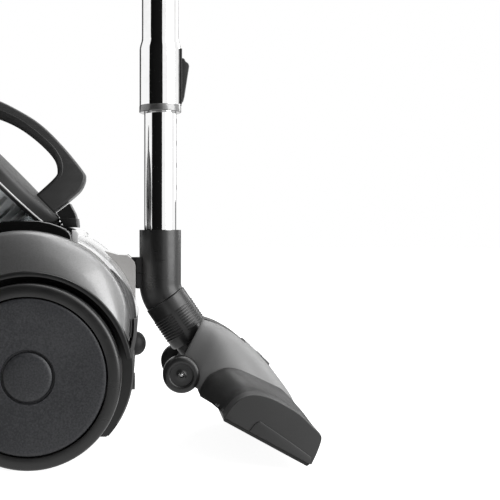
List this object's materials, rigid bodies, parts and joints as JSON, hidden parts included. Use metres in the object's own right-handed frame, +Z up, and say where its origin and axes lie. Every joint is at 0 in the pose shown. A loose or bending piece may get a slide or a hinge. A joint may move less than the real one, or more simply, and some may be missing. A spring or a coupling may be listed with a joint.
{
  "type": "canister vacuum cleaner",
  "caption": "Bagless canister vacuum cleaner on two large wheels and a front caster, with a tilted clear dust bin, a carrying handle and a telescopic wand parked upright on its back.",
  "frame": {"origin": "on the floor, under the middle of the whole outline", "axes": "+X towards the rear, where the wand is parked; +Y across the machine, along the wheel axles; +Z up"},
  "size_m": [0.4877, 0.26, 0.831],
  "materials": {
    "silver_shell": "satin metallic silver",
    "fender_grey": "metallic grey gloss",
    "gloss_black": "high gloss black",
    "dark_plastic": "fine textured dark grey",
    "black_plastic": "matt black",
    "grey_plastic": "satin mid grey",
    "boss_grey": "satin warm silver",
    "wheel_plastic": "fine grained",
    "tyre_black": "smooth soft tread",
    "clear_bin": "clear",
    "chrome_tube": "polished chrome",
    "soft_rubber": "matt",
    "steel_pin": "turned steel",
    "motor_steel": "zinc plated",
    "filter_white": "pleated fleece",
    "circuit_green": "coated board",
    "bristle_black": "stiff bristle"
  },
  "bodies": {
    "chassis": {"lower_housing": "black_plastic", "nose_cover": "dark_plastic", "bin_cradle": "gloss_black", "rear_housing": "silver_shell", "exhaust_grille": "grey_plastic", "parking_boss": "boss_grey", "rear_bumper": "soft_rubber", "cord_outlet": "black_plastic", "floor_screws": "steel_pin", "side_plates": "black_plastic", "fenders": "fender_grey", "side_trims": "dark_plastic", "wheel_axles": "steel_pin", "motor_body": "motor_steel", "motor_saddle": "soft_rubber", "fan_housing": "dark_plastic", "air_duct": "grey_plastic", "exhaust_filter": "filter_white", "control_board": "circuit_green"},
    "wheel_left": {"tyre_left": "tyre_black", "wheel_disc_left": "wheel_plastic", "hub_cap_left": "wheel_plastic"},
    "wheel_right": {"tyre_right": "tyre_black", "wheel_disc_right": "wheel_plastic", "hub_cap_right": "wheel_plastic"},
    "caster_fork": {"caster_fork": "black_plastic"},
    "caster_wheel": {"caster_wheel": "grey_plastic"},
    "impeller": {"impeller": "grey_plastic"},
    "cord_reel": {"cord_reel": "grey_plastic"},
    "power_pedal": {"power_pedal": "dark_plastic"},
    "rewind_pedal": {"rewind_pedal": "dark_plastic"},
    "dust_bin": {"dust_bin": "clear_bin", "hose_inlet": "dark_plastic", "bin_lid": "gloss_black", "mesh_shroud": "grey_plastic", "cyclone_cone": "silver_shell", "lid_filter": "filter_white", "carry_handle": "dark_plastic", "latch_housing": "black_plastic"},
    "bin_door": {"bin_door": "dark_plastic", "door_seal": "soft_rubber"},
    "release_button": {"release_button": "grey_plastic"},
    "wand": {"neck_elbow": "black_plastic", "parking_clip": "black_plastic", "lower_tube": "chrome_tube"},
    "upper_wand": {"upper_tube": "chrome_tube", "tube_ring": "dark_plastic", "wand_socket": "black_plastic"},
    "tube_latch": {"tube_latch": "dark_plastic"},
    "swivel": {"swivel_sleeve": "black_plastic"},
    "floor_head": {"nozzle_body": "dark_plastic", "top_cover": "grey_plastic", "sole_plate": "black_plastic", "end_caps": "dark_plastic", "head_axle": "steel_pin"},
    "head_wheel_left": {"head_wheel_left": "wheel_plastic"},
    "head_wheel_right": {"head_wheel_right": "wheel_plastic"},
    "brush_pedal": {"brush_pedal": "dark_plastic"},
    "brush_frame": {"brush_frame": "grey_plastic", "bristles": "bristle_black"}
  },
  "joints": [
    {"name": "wheel_left_spin", "type": "hinge", "parent": "chassis", "child": "wheel_left", "pos_m": [-0.01, 0, 0.081], "axis": [0, 1, 0], "continuous": true},
    {"name": "wheel_right_spin", "type": "hinge", "parent": "chassis", "child": "wheel_right", "pos_m": [-0.01, 0, 0.081], "axis": [0, 1, 0], "continuous": true},
    {"name": "caster_swivel", "type": "hinge", "parent": "chassis", "child": "caster_fork", "pos_m": [-0.1935, 0, 0.04], "axis": [0, 0, 1], "continuous": true},
    {"name": "caster_spin", "type": "hinge", "parent": "caster_fork", "child": "caster_wheel", "pos_m": [-0.1815, 0, 0.015], "axis": [0, 1, 0], "continuous": true},
    {"name": "impeller_spin", "type": "hinge", "parent": "chassis", "child": "impeller", "pos_m": [-0.0485, 0, 0.08], "axis": [0, 1, 0], "continuous": true},
    {"name": "reel_spin", "type": "hinge", "parent": "chassis", "child": "cord_reel", "pos_m": [0.0115, 0, 0.1], "axis": [0, 1, 0], "continuous": true},
    {"name": "power_pedal_push", "type": "slide", "parent": "chassis", "child": "power_pedal", "axis": [-0.6074, 0, -0.7944], "range_m": [0, 0.004], "stiffness_N_per_m": 1500, "springref_m": -0.002},
    {"name": "rewind_pedal_push", "type": "slide", "parent": "chassis", "child": "rewind_pedal", "axis": [-0.6074, 0, -0.7944], "range_m": [0, 0.004], "stiffness_N_per_m": 1500, "springref_m": -0.002},
    {"name": "bin_lift", "type": "slide", "parent": "chassis", "child": "dust_bin", "axis": [0, 0, 1], "range_m": [0, 0.25]},
    {"name": "bin_door_hinge", "type": "hinge", "parent": "dust_bin", "child": "bin_door", "pos_m": [-0.21535, 0, 0.20804], "axis": [0, 1, 0], "range_deg": [0, 100]},
    {"name": "release_button_push", "type": "slide", "parent": "dust_bin", "child": "release_button", "axis": [0, 0, -1], "range_m": [0, 0.003], "stiffness_N_per_m": 800, "springref_m": -0.001},
    {"name": "wand_park_lift", "type": "slide", "parent": "chassis", "child": "wand", "axis": [0, 0, 1], "range_m": [0, 0.12]},
    {"name": "tube_slide", "type": "slide", "parent": "wand", "child": "upper_wand", "axis": [0, 0, 1], "range_m": [-0.11, 0.21]},
    {"name": "tube_latch_slide", "type": "slide", "parent": "upper_wand", "child": "tube_latch", "axis": [0, 0, 1], "range_m": [0, 0.004], "stiffness_N_per_m": 800, "springref_m": -0.001},
    {"name": "head_swivel", "type": "hinge", "parent": "wand", "child": "swivel", "pos_m": [0.1067, 0, 0.147], "axis": [0.5621, 0, -0.8271], "range_deg": [-45, 45]},
    {"name": "head_tilt", "type": "hinge", "parent": "swivel", "child": "floor_head", "pos_m": [0.14919, 0, 0.08447], "axis": [0, -1, 0], "range_deg": [0, 60]},
    {"name": "head_wheel_left_spin", "type": "hinge", "parent": "floor_head", "child": "head_wheel_left", "pos_m": [0.12585, 0, 0.0721], "axis": [0, 1, 0], "continuous": true},
    {"name": "head_wheel_right_spin", "type": "hinge", "parent": "floor_head", "child": "head_wheel_right", "pos_m": [0.12585, 0, 0.0721], "axis": [0, 1, 0], "continuous": true},
    {"name": "brush_frame_drop", "type": "slide", "parent": "floor_head", "child": "brush_frame", "axis": [-0.4772, 0, -0.8788], "range_m": [0, 0.004]},
    {"name": "brush_pedal_rock", "type": "hinge", "parent": "floor_head", "child": "brush_pedal", "pos_m": [0.20375, 0, 0.08272], "axis": [0, 1, 0], "range_deg": [0, 8]}
  ],
  "couplings": [
    {"joint": "brush_pedal_rock", "follows": "brush_frame_drop", "rad_per_m": 34.48}
  ]
}
